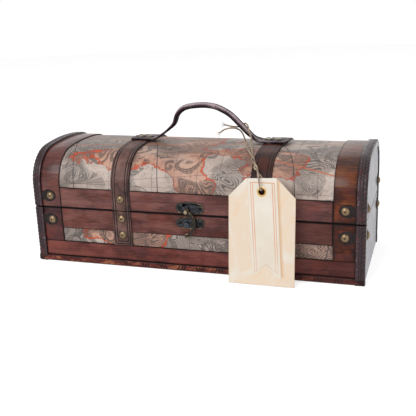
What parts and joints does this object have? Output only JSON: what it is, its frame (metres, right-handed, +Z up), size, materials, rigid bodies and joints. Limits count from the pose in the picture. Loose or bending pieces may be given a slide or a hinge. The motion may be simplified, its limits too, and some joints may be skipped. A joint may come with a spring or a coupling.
{
  "type": "wooden wine box",
  "caption": "Trunk-style wooden bottle box with a domed hinged lid, printed paper panels, wooden rails, leather straps and handle, swing hook latch and a card tag.",
  "frame": {"origin": "middle of the underside, on the surface that the box stands on", "axes": "+X along the length to the right as seen from the front, +Y to the rear (hinge side), +Z up"},
  "size_m": [0.3646, 0.1655, 0.1686],
  "materials": {
    "raw_board": "plain sawn softwood",
    "carcass_wood": "stained board",
    "end_board": "dark stained satin",
    "lining_felt": "short brown felt",
    "rail_wood": "reddish brown satin varnish",
    "stile_wood": "brown satin varnish",
    "band_wood": "reddish brown, glossier varnish",
    "map_paper": "printed paper, matt",
    "trim_wood": "dark purple-brown, glossy, ribbed",
    "bottom_trim_wood": "embossed, worn varnish",
    "corner_plate": "blackened sheet",
    "nail_brass": "antique brass, worn",
    "strap_leather": "dark brown, double stitched",
    "handle_leather": "near black brown, semi gloss",
    "latch_metal": "dark bronze with rubbed edges",
    "hook_metal": "rubbed dark bronze",
    "hinge_metal": "dull brass",
    "tag_card": "cream card, matt",
    "eyelet_brass": "dull brass",
    "twine_jute": "jute, rough"
  },
  "bodies": {
    "base": {"floor_board": "raw_board", "base_front_board": "carcass_wood", "base_rear_board": "carcass_wood", "base_left_board": "end_board", "base_right_board": "end_board", "base_lining": "lining_felt", "front_top_rail": "rail_wood", "front_bottom_rail": "rail_wood", "rear_top_rail": "rail_wood", "rear_bottom_rail": "rail_wood", "front_map_band": "map_paper", "rear_map_band": "map_paper", "base_front_stiles": "stile_wood", "base_rear_stiles": "stile_wood", "base_left_corner_trims": "trim_wood", "base_right_corner_trims": "trim_wood", "front_bottom_trim": "bottom_trim_wood", "rear_bottom_trim": "bottom_trim_wood", "base_corner_plates": "corner_plate", "base_corner_nails": "nail_brass", "base_front_straps": "strap_leather", "base_rear_straps": "strap_leather", "base_strap_nails": "nail_brass", "catch_plate": "latch_metal", "catch_post": "latch_metal", "catch_screws": "latch_metal", "base_hinge_leaves": "hinge_metal", "base_hinge_screws": "hinge_metal", "hinge_pins": "hinge_metal"},
    "lid": {"lid_shell": "carcass_wood", "lid_left_board": "end_board", "lid_right_board": "end_board", "lid_lining": "lining_felt", "lid_front_rail": "rail_wood", "lid_rear_rail": "rail_wood", "lid_map_cover": "map_paper", "lid_front_stiles": "stile_wood", "lid_rear_stiles": "stile_wood", "lid_left_band": "band_wood", "lid_right_band": "band_wood", "lid_left_trim": "trim_wood", "lid_right_trim": "trim_wood", "lid_left_strap": "strap_leather", "lid_right_strap": "strap_leather", "lid_corner_plates": "corner_plate", "lid_corner_nails": "nail_brass", "lid_strap_nails": "nail_brass", "handle": "handle_leather", "handle_nails": "nail_brass", "latch_plate": "latch_metal", "latch_screws": "latch_metal", "latch_rivet": "hook_metal", "lid_hinge_leaves": "hinge_metal", "lid_hinge_screws": "hinge_metal", "hang_tag": "tag_card", "tag_eyelet": "eyelet_brass", "tag_twine": "twine_jute"},
    "hook": {"latch_hook": "hook_metal"}
  },
  "joints": [
    {"name": "lid_hinge", "type": "hinge", "parent": "base", "child": "lid", "pos_m": [0, 0.072, 0.0625], "axis": [-1, 0, 0], "range_deg": [0, 110]},
    {"name": "hook_pivot", "type": "hinge", "parent": "lid", "child": "hook", "pos_m": [-0.0018, -0.0726, 0.0669], "axis": [0, -1, 0], "range_deg": [0, 95]}
  ]
}
